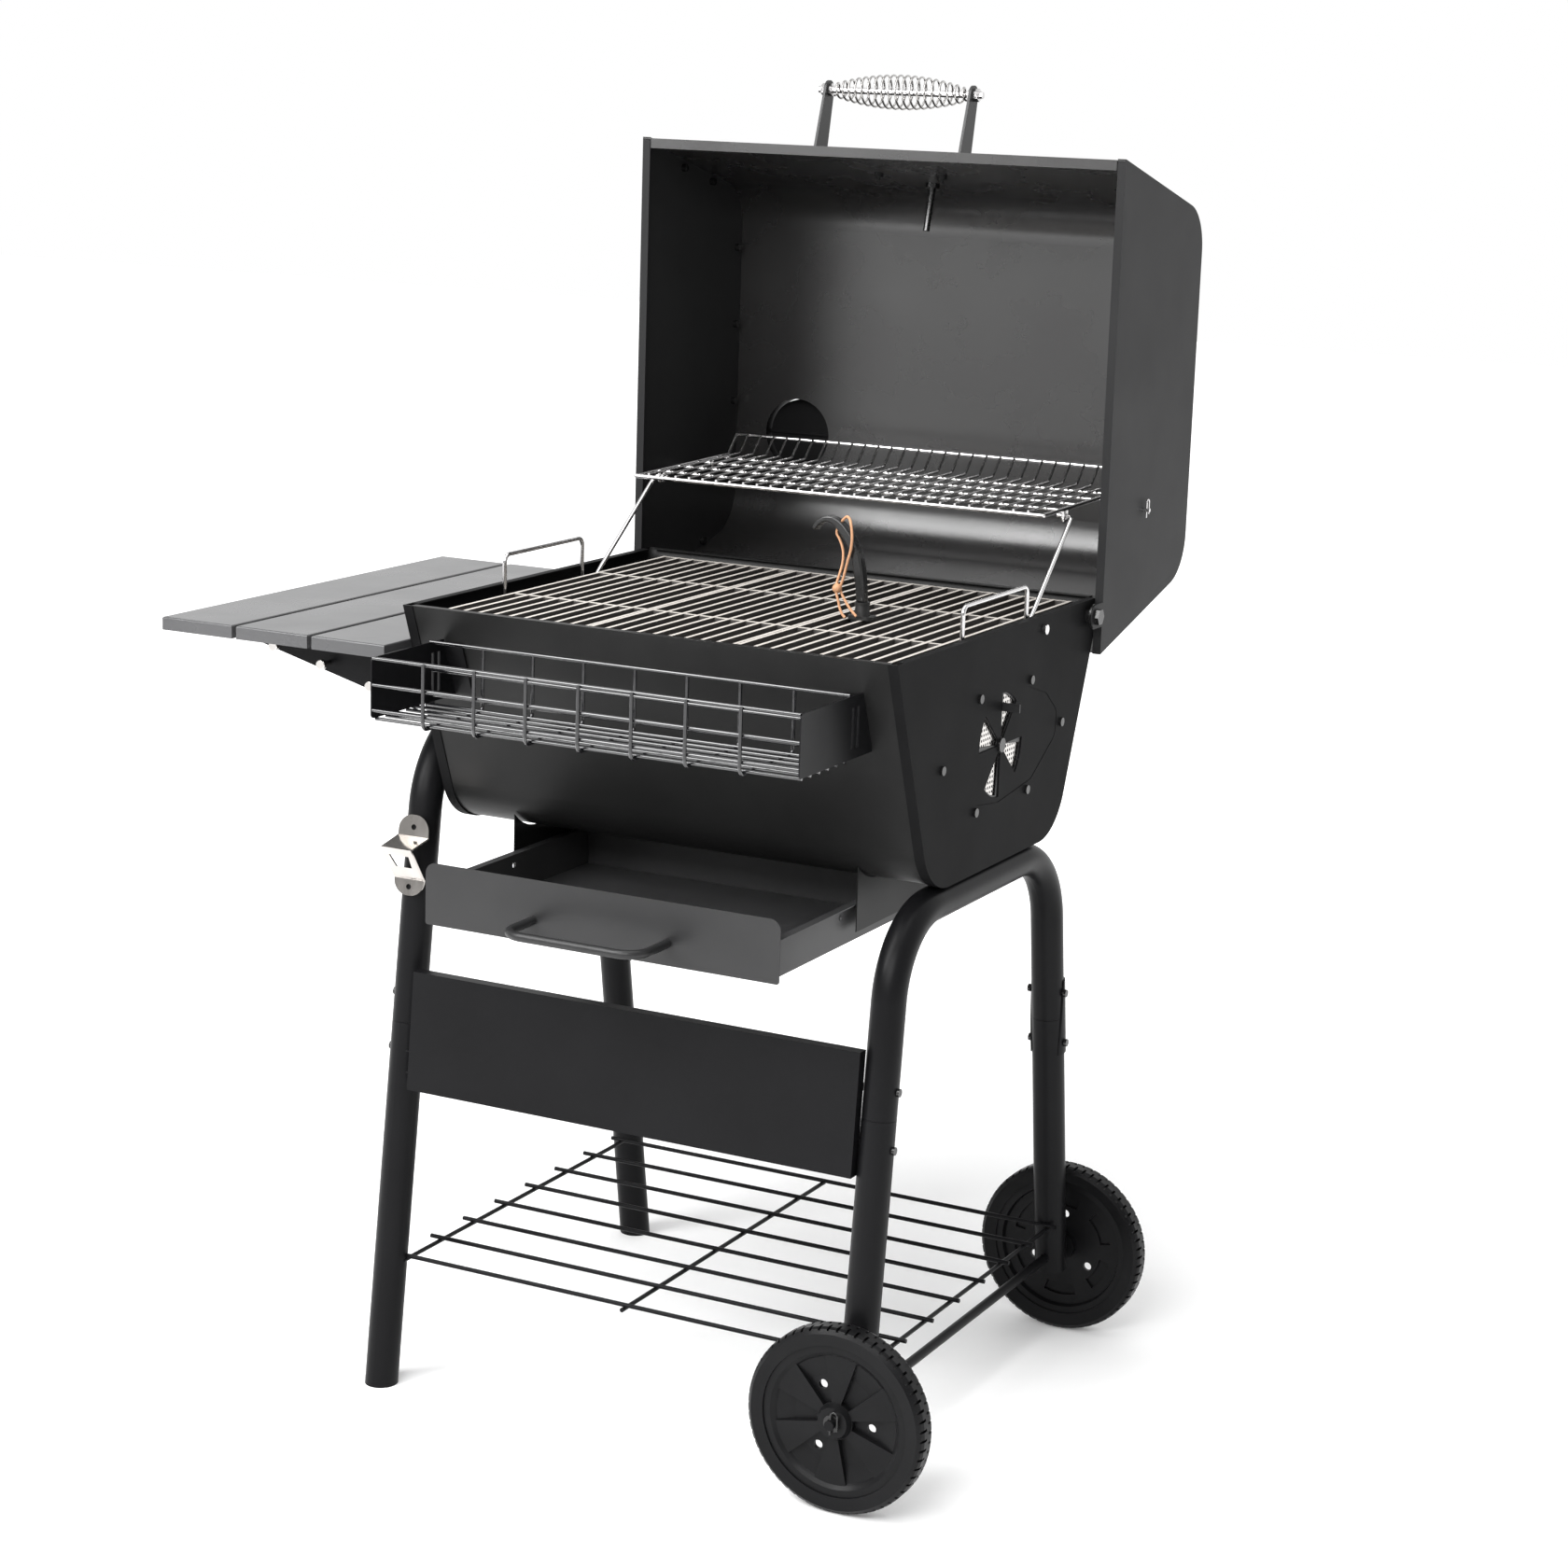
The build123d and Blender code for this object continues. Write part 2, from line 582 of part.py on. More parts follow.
def lid_end():
    profile = lid_profile(0, LID_Z, LID_CORNER)
    plate = along_x(profile, LID_IN, LID_HALF)
    inner = lid_profile(SHEET, LID_Z - 5, LID_CORNER - SHEET)
    flange = along_x(profile - inner, LID_HALF - 10, LID_IN)
    rim = block((LID_HALF - 10, LID_IN), (-278.3, 278.3), (LID_Z, LID_Z + SHEET))
    ear = along_x(Pos(HINGE_Y, HINGE_Z) * Circle(14) + Pos(HINGE_Y, HINGE_Z + 10) * Rectangle(28, 20), LID_IN, LID_HALF)
    end = fuse([plate, flange, rim, ear])
    end -= rod((LID_IN - 1, HINGE_Y, HINGE_Z), (LID_HALF + 1, HINGE_Y, HINGE_Z), HINGE_PIN + RUNNING)
    return end - rod((LID_IN - 1, *RACK_PIVOT), (LID_HALF + 1, *RACK_PIVOT), WIRE + RUNNING)


def lid_bolts():
    pieces = []
    for side in (-1, 1):
        for y, z in LID_STUDS:
            pieces.append(rod((side * (LID_IN - 5.5), y, z), (side * LID_IN, y, z), 4.5))
    for x in NAMEPLATE_BOLTS:
        inner = face_point(123.4, -12)
        outer = face_point(123.4, 2.5)
        pieces.append(rod((x, *inner), (x, *outer), 2.5) + rod((x, *face_point(123.4, -1.1)), (x, *outer), 6.0))
        nut = rod((x, *face_point(123.4, -7.2)), (x, *face_point(123.4, -2.6)), 5.5)
        pieces[-1] += nut
    return Part() + pieces


def handle_bracket():
    angle = 75.48
    y, z = face_point(HANDLE_BASE, 1.5 + 0.1)
    strap = Pos(0, y, z) * Rot(angle - 90, 0, 0) * Box(190, 3.0, 31)
    base_low = face_point(HANDLE_BASE - 15.5, 0.2)
    base_high = face_point(HANDLE_BASE + 15.5, 0.2)
    tip_low = face_point(HANDLE_BASE - 11, HANDLE_OUT)
    tip_high = face_point(HANDLE_BASE + 11, HANDLE_OUT)
    rod_at = face_point(HANDLE_BASE, HANDLE_OUT)
    arm = polygon(base_low, base_high, tip_high, tip_low) + Pos(*rod_at) * Circle(11)
    arm -= Pos(*rod_at) * Circle(4.1)
    return fuse([strap, along_x(arm, 92, 95), along_x(arm, -95, -92)])


def handle_rod():
    y, z = face_point(HANDLE_BASE, HANDLE_OUT)
    return rod((-106, y, z), (106, y, z), 4.0)


def handle_nuts():
    y, z = face_point(HANDLE_BASE, HANDLE_OUT)
    nuts = []
    for x in (-101.5, -91.6, 88.4, 95.3):
        depth = 6.2 if abs(x) > 95 else 3.2
        hexagon = RegularPolygon(7.5, 6) - Circle(4.05)
        nuts.append(along_x(Pos(y, z) * hexagon, x, x + depth))
    return Part() + nuts


COIL_TURNS = 19
COIL_HALF = 86.0
COIL_END = 6.4
COIL_MIDDLE = 19.6
COIL_WIRE = 1.25


def handle_coil():
    y, z = face_point(HANDLE_BASE, HANDLE_OUT)
    steps = COIL_TURNS * 10
    points = []
    for k in range(steps + 1):
        t = k / steps
        radius = COIL_END + (COIL_MIDDLE - COIL_END) * sin(radians(180 * t)) ** 0.8
        turn = radians(360 * COIL_TURNS * t)
        points.append((-COIL_HALF + 2 * COIL_HALF * t, y + radius * cos(turn), z + radius * sin(turn)))
    return wire(points, COIL_WIRE, 1.6)


def thermometer():
    inner = face_point(170, -60)
    seat = face_point(170, 0.1)
    back = face_point(170, 3)
    dial = face_point(170, 14)
    pieces = [rod((-1, *inner), (-1, *back), 4.0), rod((-1, *seat), (-1, *back), 12.0), rod((-1, *back), (-1, *dial), 26.0)]
    nut = rod((-1, *face_point(170, -8)), (-1, *face_point(170, -2.6)), 8.5)
    return fuse(pieces + [nut])


def exhaust_collar():
    flange = Circle(60) - Circle(45)
    tube = Circle(46.5) - Circle(45)
    collar = along_z(flange, LID_TOP_Z, LID_TOP_Z + 1.5) + along_z(tube, LID_TOP_Z, LID_TOP_Z + 21)
    collar -= rod((-70, 0, LID_TOP_Z + 12), (70, 0, LID_TOP_Z + 12), 2.5 + RUNNING)
    return Pos(EXHAUST_X, EXHAUST_Y, 0) * collar


def exhaust_damper():
    z = LID_TOP_Z + 12
    disc = Pos(0, 0, z) * Cylinder(43.5, 1.5)
    pin = rod((-52, 0, z), (50, 0, z), 2.5)
    lever = Pos(-53.5, 0, z) * Box(3, 12, 8) + Pos(-53.5, 14, z) * Box(3, 24, 5)
    return Pos(EXHAUST_X, EXHAUST_Y, 0) * fuse([disc, pin, lever])


def swing_open(piece):
    return Pos(0, HINGE_Y, HINGE_Z) * Rot(-90, 0, 0) * Pos(0, -HINGE_Y, -HINGE_Z) * piece


def hinge_bolts():
    start = BODY_HALF - 8
    shank = rod((start, HINGE_Y, HINGE_Z), (LID_HALF + 2, HINGE_Y, HINGE_Z), HINGE_PIN)
    spacer = rod((BODY_HALF, HINGE_Y, HINGE_Z), (LID_IN - 2.4, HINGE_Y, HINGE_Z), 8.0)
    washer = rod((LID_IN - 2.4, HINGE_Y, HINGE_Z), (LID_IN - 0.4, HINGE_Y, HINGE_Z), 14.5)
    head = along_x(Pos(HINGE_Y, HINGE_Z) * RegularPolygon(9.8, 6), LID_HALF + 0.4, LID_HALF + 6)
    nut = along_x(Pos(HINGE_Y, HINGE_Z) * RegularPolygon(7.5, 6), END_IN - 6, END_IN)
    return both_sides(fuse([shank, spacer, washer, head, nut]))


# ---------------------------------------------------------------- warming rack and its legs

RACK_FRONT = (173.0, 1004.0)
RACK_BEND = (405.0, 1008.0)
RACK_BACK = (427.0, 1032.0)
PIVOT_Q = (HINGE_Y + CRANK_Y, HINGE_Z + CRANK_Z)
PIVOT_R = (LEG_PIVOT_Y + CRANK_Y, LEG_PIVOT_Z + CRANK_Z)


def rack_height(y):
    return RACK_FRONT[1] + (y - RACK_FRONT[0]) * (RACK_BEND[1] - RACK_FRONT[1]) / (RACK_BEND[0] - RACK_FRONT[0])


def warming_rack():
    half = RACK_HALF
    pieces = []
    for z_rail in (RACK_FRONT, RACK_BACK):
        pieces.append(rod((-half, *z_rail), (half, *z_rail), WIRE))
    for y in (225, 275, 325, 375):
        pieces.append(rod((-half, y, rack_height(y)), (half, y, rack_height(y)), 2.0))
    for x in (-half, half):
        pieces.append(wire([(x, *RACK_FRONT), (x, *RACK_BEND), (x, *RACK_BACK)], WIRE, 8))
        pieces += [Pos(x, *corner) * Sphere(WIRE) for corner in (RACK_FRONT, RACK_BACK)]
    frame = fuse(pieces)
    for x in (-half, half):
        y, z = PIVOT_Q
        side = 1 if x > 0 else -1
        frame += wire([(x, y, rack_height(y) - 0.7), (x, y, z), (side * 319, y, z)], WIRE - 0.1, 5)
        y, z = PIVOT_R
        top = rack_height(y) - 0.5
        frame += wire([(x, y - 6, top), (x, y - 6, z - 6), (x, y + 6, z - 6), (x, y + 6, top)], 2.0, 4.5)
    pieces = [frame]
    rods = 30
    lift = 3.4
    for k in range(1, rods - 1):
        x = -half + 2 * half * k / (rods - 1)
        path = [(x, RACK_FRONT[0] - 1, RACK_FRONT[1] + lift), (x, RACK_BEND[0] - 2, RACK_BEND[1] + lift),
                (x, RACK_BACK[0] - 3, RACK_BACK[1] + 1)]
        pieces.append(wire(path, 1.5, 7))
    rack = fuse(pieces)
    for x in (-315.0, 315.0):
        rack -= rod((x, PIVOT_Q[0], PIVOT_Q[1] - 6), (x, PIVOT_Q[0], PIVOT_Q[1] + 6), 1.0)
    return rack


def rack_hairpins():
    y, z = PIVOT_Q
    clips = []
    for x in (-315.0, 315.0):
        points = [(x, y, z - 9), (x, y, z + 12), (x, y + 7, z + 12), (x, y + 7, z - 5)]
        clips.append(wire(points, 0.9, 3.2))
    return Part() + clips


def rack_leg():
    path = [(BODY_HALF + 2, LEG_PIVOT_Y, LEG_PIVOT_Z), (280, LEG_PIVOT_Y, LEG_PIVOT_Z), (274, *PIVOT_R), (256, *PIVOT_R)]
    cap = rod((BODY_HALF + 0.4, LEG_PIVOT_Y, LEG_PIVOT_Z), (BODY_HALF + 5, LEG_PIVOT_Y, LEG_PIVOT_Z), 5.5)
    return fuse([wire(path, WIRE, 5.5), cap])


# ---------------------------------------------------------------- grate lifter with its leather lace

LIFTER_X = 129.0
LIFTER_Y = -6.0
PRONG_X = 122.7
LACE = 1.5
GRIP_OUTER = [(132.8, 916), (131.3, 938), (128.4, 956), (123.5, 971.5), (114.2, 988.6), (105, 999.2), (94, 1006.2),
              (83, 1007.5), (73, 1002.5), (66.5, 993)]
GRIP_INNER = [(70.5, 990.5), (76, 997.5), (83, 1001), (90, 999.5), (97.5, 993.5), (106, 983), (113.5, 970),
              (117.6, 956), (121.2, 938), (123.8, 916)]


def lifter_claw():
    base = block((LIFTER_X - 15, LIFTER_X + 15), (LIFTER_Y - 10, LIFTER_Y + 10), (GRATE_TOP + 0.4, GRATE_TOP + 4.4))
    base = fillet(base.edges().filter_by(Axis.Z), 6)
    prong = block((PRONG_X - 3.5, PRONG_X + 3.5), (LIFTER_Y - 8, LIFTER_Y + 8), (GRATE_TOP - 12, GRATE_TOP + 1))
    boss = Pos(LIFTER_X, LIFTER_Y, 906) * Cone(9.0, 7.6, 14)
    ring = Pos(LIFTER_X, LIFTER_Y, 914) * Cylinder(8.5, 3)
    return fuse([base, prong, boss, ring])


def lifter_handle():
    outline = make_face([Spline(*GRIP_OUTER), Line(GRIP_OUTER[-1], GRIP_INNER[0]), Spline(*GRIP_INNER),
                         Line(GRIP_INNER[-1], GRIP_OUTER[0])])
    grip = along_y(outline, LIFTER_Y - 7, LIFTER_Y + 7)
    faces = grip.faces().sort_by(Axis.Y)
    grip = fillet(faces[0].edges() + faces[-1].edges(), 1.8)
    return grip - rod((109, LIFTER_Y, 1015.5), (88.5, LIFTER_Y, 985.5), LACE + 0.6)


LACE_ROUTE = [(129.5, -22, 901.5), (121, -20.5, 908), (113, -19, 918), (105.5, -17.5, 929), (110, -17.5, 941),
              (112, -17, 951.3), (114.4, -16.8, 962), (117.8, -16.8, 974), (118.7, -16.8, 988.3),
              (116.5, -16, 1001), (112.5, -12, 1008), (104.5, -6, 1009), (92, -6, 990.5), (99, -6.3, 982),
              (104.5, -8, 970), (105.5, -11, 957), (104, -14.5, 946), (101.5, -20.5, 930), (106, -22, 919),
              (109.5, -23, 908), (113.5, -24, 901.5), (117.5, -25, 899)]


def lace_route():
    points = [Vector(*p) for p in LACE_ROUTE]
    runs = [b - a for a, b in zip(points, points[1:])]
    radii = []
    for first, second in zip(runs, runs[1:]):
        turn = radians(first.get_angle(second))
        radii.append(0.45 * min(first.length, second.length) / tan(turn / 2))
    return FilletPolyline(*points, radius=radii), radii


def leather_lace():
    path, radii = lace_route()
    tube = sweep(Plane(origin=path @ 0, z_dir=path % 0) * Circle(LACE), path=path)
    print("lace length", round(path.length, 1), "radii", [round(r, 1) for r in radii])
    return tube


def lace_knot():
    return Pos(103.5, -19, 929.7) * Sphere(5.5) - leather_lace()


# ---------------------------------------------------------------- assembly

heads, holes = all_leg_screws()
parts["firebox_wrap"] = firebox_wrap()
parts["firebox_end_right"] = firebox_end_right()
parts["firebox_end_left"] = mirror(firebox_end(), about=Plane.YZ)
parts["firebox_screws"] = firebox_screws()
parts["vent_mesh"] = vent_mesh()
parts["side_damper"] = side_damper()
parts["ash_chute"] = ash_chute()
parts["drawer_pan"] = drawer_pan()
parts["drawer_front"] = drawer_front()
parts["drawer_handle"] = drawer_handle()

parts["leg_frame_left"] = leg_frame(LEFT_TOP, LEFT_SEAM, LEFT_BEND) - holes
parts["leg_frame_right"] = leg_frame(RIGHT_TOP, RIGHT_SEAM, RIGHT_BEND) - holes
above_floor = block((-400, 400), (-400, 400), (0, 700))
axle_hole = rod((AXLE_X, -400, AXLE_Z), (AXLE_X, 400, AXLE_Z), AXLE + 0.1)
names = ("front_left", "rear_left", "front_right", "rear_right")
envelopes = []
for name, (top, seam, end, side) in zip(names, LEGS):
    leg = (lower_leg(top, seam, end, side) & above_floor) - holes
    foot_start = leg_point(top, seam, side)
    solid_leg = rod(foot_start, leg_point(top, end, side), TUBE)
    envelopes.append(solid_leg)
    if end > 700:
        leg += solid_leg & block((-400, 400), (-400, 400), (0, 5))
    else:
        leg -= axle_hole
    parts["lower_leg_" + name] = leg
parts["leg_screws"] = Part() + heads
parts["leg_splice_plate"] = splice_plate() - holes
parts["axle"] = axle()
parts["axle_pins"] = axle_pins()
for name, side, turn in (("near", -1, 0.0), ("far", 1, 35.5)):
    parts["tyre_" + name] = place_wheel(tyre(), side, turn)
    parts["wheel_disc_" + name] = place_wheel(wheel_disc(), side, turn)
parts["wire_shelf"] = wire_shelf(envelopes)
parts["front_panel"] = front_panel(envelopes)

for name, x in zip(("outer", "middle", "inner"), SLAT_X):
    parts["table_slat_" + name] = table_slat(x)
lid_corner_room = block((-314, -300), (226, 300), (800, 900))
parts["table_slat_inner"] -= lid_corner_room
parts["table_bracket_front"] = table_bracket(BRACKET_FRONT_Y, 1)
parts["table_bracket_rear"] = table_bracket(BRACKET_REAR_Y, -1)
parts["table_pegs"] = table_pegs()
parts["basket_wires"] = basket_wires()
parts["basket_ends"] = both_sides(basket_end())
parts["bottle_opener"] = bottle_opener()
parts["charcoal_tray"] = charcoal_tray()
parts["tray_handles"] = both_sides(tray_handle())
for name, start, end in (("left", -271, -90.5), ("middle", -89.7, 89.7), ("right", 90.5, 271)):
    parts["cooking_grate_" + name] = cooking_grate(start, end)

parts["lid_wrap"] = swing_open(lid_wrap())
parts["lid_end_right"] = swing_open(lid_end())
parts["lid_end_left"] = swing_open(mirror(lid_end(), about=Plane.YZ))
parts["lid_bolts"] = swing_open(lid_bolts())
parts["handle_bracket"] = swing_open(handle_bracket())
parts["handle_rod"] = swing_open(handle_rod())
parts["handle_nuts"] = swing_open(handle_nuts())
parts["handle_coil"] = swing_open(handle_coil())
parts["thermometer"] = swing_open(thermometer())
parts["exhaust_collar"] = swing_open(exhaust_collar())
parts["exhaust_damper"] = swing_open(exhaust_damper())
parts["hinge_bolts"] = hinge_bolts()
parts["warming_rack"] = warming_rack()
parts["rack_hairpins"] = rack_hairpins()
parts["rack_leg_right"] = rack_leg()
parts["rack_leg_left"] = mirror(rack_leg(), about=Plane.YZ)
parts["lifter_claw"] = lifter_claw()
parts["lifter_handle"] = lifter_handle()
parts["leather_lace"] = leather_lace()
parts["lace_knot"] = lace_knot()

boxes = [piece.bounding_box() for piece in parts.values()]
low = [min(getattr(box.min, axis) for box in boxes) for axis in "XYZ"]
high = [max(getattr(box.max, axis) for box in boxes) for axis in "XYZ"]
shift = (-(low[0] + high[0]) / 2, -(low[1] + high[1]) / 2, -low[2])
print("whole box", low, high, "shift", shift, "nodes", len(parts))
os.makedirs("parts", exist_ok=True)
for name, piece in parts.items():
    export_step(Pos(*shift) * piece, "parts/" + name + ".step")
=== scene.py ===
import json
import math

import bpy
from mathutils import Matrix, Vector


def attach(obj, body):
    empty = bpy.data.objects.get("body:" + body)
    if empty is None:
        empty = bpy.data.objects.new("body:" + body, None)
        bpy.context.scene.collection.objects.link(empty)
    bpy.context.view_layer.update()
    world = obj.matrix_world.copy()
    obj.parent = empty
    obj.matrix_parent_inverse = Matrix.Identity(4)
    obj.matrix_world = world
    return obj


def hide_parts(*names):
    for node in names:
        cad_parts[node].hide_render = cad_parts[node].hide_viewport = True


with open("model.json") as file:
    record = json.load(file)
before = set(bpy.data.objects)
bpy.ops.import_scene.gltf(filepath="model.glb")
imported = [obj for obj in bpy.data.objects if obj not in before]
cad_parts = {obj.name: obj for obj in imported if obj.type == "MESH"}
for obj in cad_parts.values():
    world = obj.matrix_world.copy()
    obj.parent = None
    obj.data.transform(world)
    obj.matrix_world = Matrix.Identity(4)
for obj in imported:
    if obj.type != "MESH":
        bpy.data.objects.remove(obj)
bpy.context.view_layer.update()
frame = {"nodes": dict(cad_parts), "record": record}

# The CAD frame's origin is the bottom centre of the whole object. The barrel's own middle lies here (metres).
BARREL = Vector((0.10435, -0.05725, 0.0))
MM = 0.001


def place(x, y, z):
    """A point given in mm from the barrel's middle on the floor, in the frame's metres."""
    return Vector((x * MM, y * MM, z * MM)) + BARREL


# ---------------------------------------------------------------- camera

EYE = (1696.83, -3261.22, 1511.32)  # mm from the barrel's middle
YAW, PITCH, ROLL = 26.992, 12.563, 1.843  # degrees
FOCAL_LENGTH = 75.89
SENSOR_WIDTH = 36
VIEW_REACH = 50


def add_camera():
    yaw, pitch, roll = math.radians(YAW), math.radians(PITCH), math.radians(ROLL)
    forward = Vector((-math.sin(yaw) * math.cos(pitch), math.cos(yaw) * math.cos(pitch), -math.sin(pitch)))
    level_right = Vector((math.cos(yaw), math.sin(yaw), 0))
    level_up = level_right.cross(forward)
    right = math.cos(roll) * level_right + math.sin(roll) * level_up
    up = math.cos(roll) * level_up - math.sin(roll) * level_right
    data = bpy.data.cameras.new("camera")
    data.sensor_width = SENSOR_WIDTH
    data.lens = FOCAL_LENGTH
    data.clip_end = VIEW_REACH
    camera = bpy.data.objects.new("camera", data)
    axes = Matrix((right, up, -forward)).transposed().to_4x4()
    camera.matrix_world = Matrix.Translation(place(*EYE)) @ axes
    bpy.context.collection.objects.link(camera)
    bpy.context.scene.camera = camera


# ---------------------------------------------------------------- studio

WHITE = (1.0, 1.0, 1.0, 1)
FILL_FRONT = 0.45  # strength of the fill from the room in front of the object
FILL_BACK = 1.1  # and from the backdrop behind it
FLOOR_REACH = 14
FLOOR_PAINT = (0.95, 0.95, 0.95, 1)
GLOW_START, GLOW_END = 0.6, 2.6  # metres from the object over which the floor turns into a lit backdrop
GLOW_NEAR, GLOW_FAR = 0.10, 0.75

# name, place, target, size and power of each softbox
SOFTBOXES = [
    ("key", (0.5, -3.5, 2.9), (0.1, 0.2, 0.9), (2.4, 1.6), 110),
    ("top", (0.2, -0.4, 3.8), (0.1, 0.1, 0.8), (2.4, 2.4), 50),
    ("left strip", (-1.23, -1.94, 2.76), (0.1, 0.36, 1.0), (1.2, 2.6), 120),
]


def add_light(name, at, target, size, power):
    data = bpy.data.lights.new(name, "AREA")
    data.shape = "RECTANGLE"
    data.size, data.size_y = size
    data.energy = power
    light = bpy.data.objects.new(name, data)
    light.location = at
    light.rotation_euler = (Vector(target) - Vector(at)).to_track_quat("-Z", "Y").to_euler()
    bpy.context.collection.objects.link(light)


def add_map_range(tree, value, source, target):
    """A node that carries the range source of a value over to the range target."""
    node = tree.nodes.new("ShaderNodeMapRange")
    node.inputs["From Min"].default_value, node.inputs["From Max"].default_value = source
    node.inputs["To Min"].default_value, node.inputs["To Max"].default_value = target
    tree.links.new(value, node.inputs["Value"])
    return node.outputs["Result"]


def add_world():
    """Soft fill, stronger from the backdrop than from the room in front; the backdrop itself is seen as plain white."""
    world = bpy.data.worlds.new("studio")
    world.use_nodes = True
    tree = world.node_tree
    background = tree.nodes["Background"]
    background.inputs["Color"].default_value = WHITE
    direction = tree.nodes.new("ShaderNodeTexCoord")
    split = tree.nodes.new("ShaderNodeSeparateXYZ")
    tree.links.new(direction.outputs["Generated"], split.inputs[0])
    fill = add_map_range(tree, split.outputs["Y"], (-0.2, 0.8), (FILL_FRONT, FILL_BACK))
    rays = tree.nodes.new("ShaderNodeLightPath")
    choice = tree.nodes.new("ShaderNodeMix")
    tree.links.new(rays.outputs["Is Camera Ray"], choice.inputs[0])
    tree.links.new(fill, choice.inputs[2])
    choice.inputs[3].default_value = 1.0
    tree.links.new(choice.outputs[0], background.inputs["Strength"])
    bpy.context.scene.world = world


def floor_paint():
    """White paint that starts to glow away from the object, as a curved studio backdrop would."""
    paint = bpy.data.materials.new("floor_paint")
    paint.use_nodes = True
    tree = paint.node_tree
    shader = tree.nodes["Principled BSDF"]
    shader.inputs["Base Color"].default_value = FLOOR_PAINT
    shader.inputs["Roughness"].default_value = 0.9
    shader.inputs["Specular IOR Level"].default_value = 0.1
    shader.inputs["Emission Color"].default_value = WHITE
    coordinates = tree.nodes.new("ShaderNodeTexCoord")
    distance = tree.nodes.new("ShaderNodeVectorMath")
    distance.operation = "LENGTH"
    tree.links.new(coordinates.outputs["Object"], distance.inputs[0])
    glow = add_map_range(tree, distance.outputs["Value"], (GLOW_START, GLOW_END), (GLOW_NEAR, GLOW_FAR))
    tree.links.new(glow, shader.inputs["Emission Strength"])
    return paint


def add_stage():
    bpy.context.scene.view_settings.view_transform = "Standard"
    for softbox in SOFTBOXES:
        add_light(*softbox)
    corners = [(-FLOOR_REACH, -FLOOR_REACH, 0), (FLOOR_REACH, -FLOOR_REACH, 0),
               (FLOOR_REACH, FLOOR_REACH, 0), (-FLOOR_REACH, FLOOR_REACH, 0)]
    mesh = bpy.data.meshes.new("floor")
    mesh.from_pydata(corners, [], [(0, 1, 2, 3)])
    mesh.materials.append(floor_paint())
    floor = bpy.data.objects.new("floor", mesh)
    bpy.context.collection.objects.link(floor)


# ---------------------------------------------------------------- materials

class Recipe:
    """Short helper that adds nodes to one material and links them."""

    def __init__(self, name):
        self.material = bpy.data.materials.new(name)
        self.material.use_nodes = True
        self.tree = self.material.node_tree
        self.shader = self.tree.nodes["Principled BSDF"]
        self.place = self.tree.nodes.new("ShaderNodeTexCoord").outputs["Object"]

    def link(self, out, socket_name):
        self.tree.links.new(out, self.shader.inputs[socket_name])

    def noise(self, scale, detail=3.0, stretch=(1, 1, 1)):
        mapping = self.tree.nodes.new("ShaderNodeMapping")
        mapping.inputs["Scale"].default_value = stretch
        self.tree.links.new(self.place, mapping.inputs["Vector"])
        node = self.tree.nodes.new("ShaderNodeTexNoise")
        node.inputs["Scale"].default_value = scale
        node.inputs["Detail"].default_value = detail
        self.tree.links.new(mapping.outputs["Vector"], node.inputs["Vector"])
        return node.outputs["Fac"]

    def span(self, value, low, high, start=0.3, end=0.7):
        return add_map_range(self.tree, value, (start, end), (low, high))

    def blend(self, factor, first, second):
        """A mix of two colours, each a tuple or a node's output."""
        node = self.tree.nodes.new("ShaderNodeMix")
        node.data_type = "RGBA"
        for socket, colour in ((node.inputs[6], first), (node.inputs[7], second)):
            if isinstance(colour, tuple):
                socket.default_value = (*colour, 1)
            else:
                self.tree.links.new(colour, socket)
        self.tree.links.new(factor, node.inputs[0])
        return node.outputs[2]

    def bump(self, height, strength, distance):
        node = self.tree.nodes.new("ShaderNodeBump")
        node.inputs["Strength"].default_value = strength
        node.inputs["Distance"].default_value = distance
        self.tree.links.new(height, node.inputs["Height"])
        self.link(node.outputs["Normal"], "Normal")

    def facing_up(self):
        node = self.tree.nodes.new("ShaderNodeTexCoord")
        split = self.tree.nodes.new("ShaderNodeSeparateXYZ")
        self.tree.links.new(node.outputs["Normal"], split.inputs[0])
        return split.outputs["Z"]

    def set(self, **values):
        for name, value in values.items():
            self.shader.inputs[name.replace("_", " ")].default_value = value


def coated_steel(name, dark, light, rough, specular=0.5, grain=650, grain_depth=0.00012):
    """Paint or enamel on steel sheet: two close shades in clouds, with a fine grain."""
    recipe = Recipe(name)
    cloud = recipe.noise(7, 4)
    recipe.link(recipe.blend(recipe.span(cloud, 0, 1), dark, light), "Base Color")
    recipe.link(recipe.span(recipe.noise(11, 5), rough - 0.02, rough + 0.03), "Roughness")
    recipe.bump(recipe.noise(grain, 2), 0.35, grain_depth)
    recipe.set(Specular_IOR_Level=specular)
    return recipe.material


def bright_metal(name, colour, rough, stretch=(1, 1, 1), grain=500):
    """Bare metal with fine streaks."""
    recipe = Recipe(name)
    shade = tuple(channel * 0.86 for channel in colour)
    streak = recipe.noise(grain, 4, stretch)
    recipe.link(recipe.blend(recipe.span(streak, 0, 1), shade, colour), "Base Color")
    recipe.link(recipe.span(streak, rough - 0.04, rough + 0.08), "Roughness")
    recipe.bump(streak, 0.15, 0.00005)
    recipe.set(Metallic=1.0)
    return recipe.material


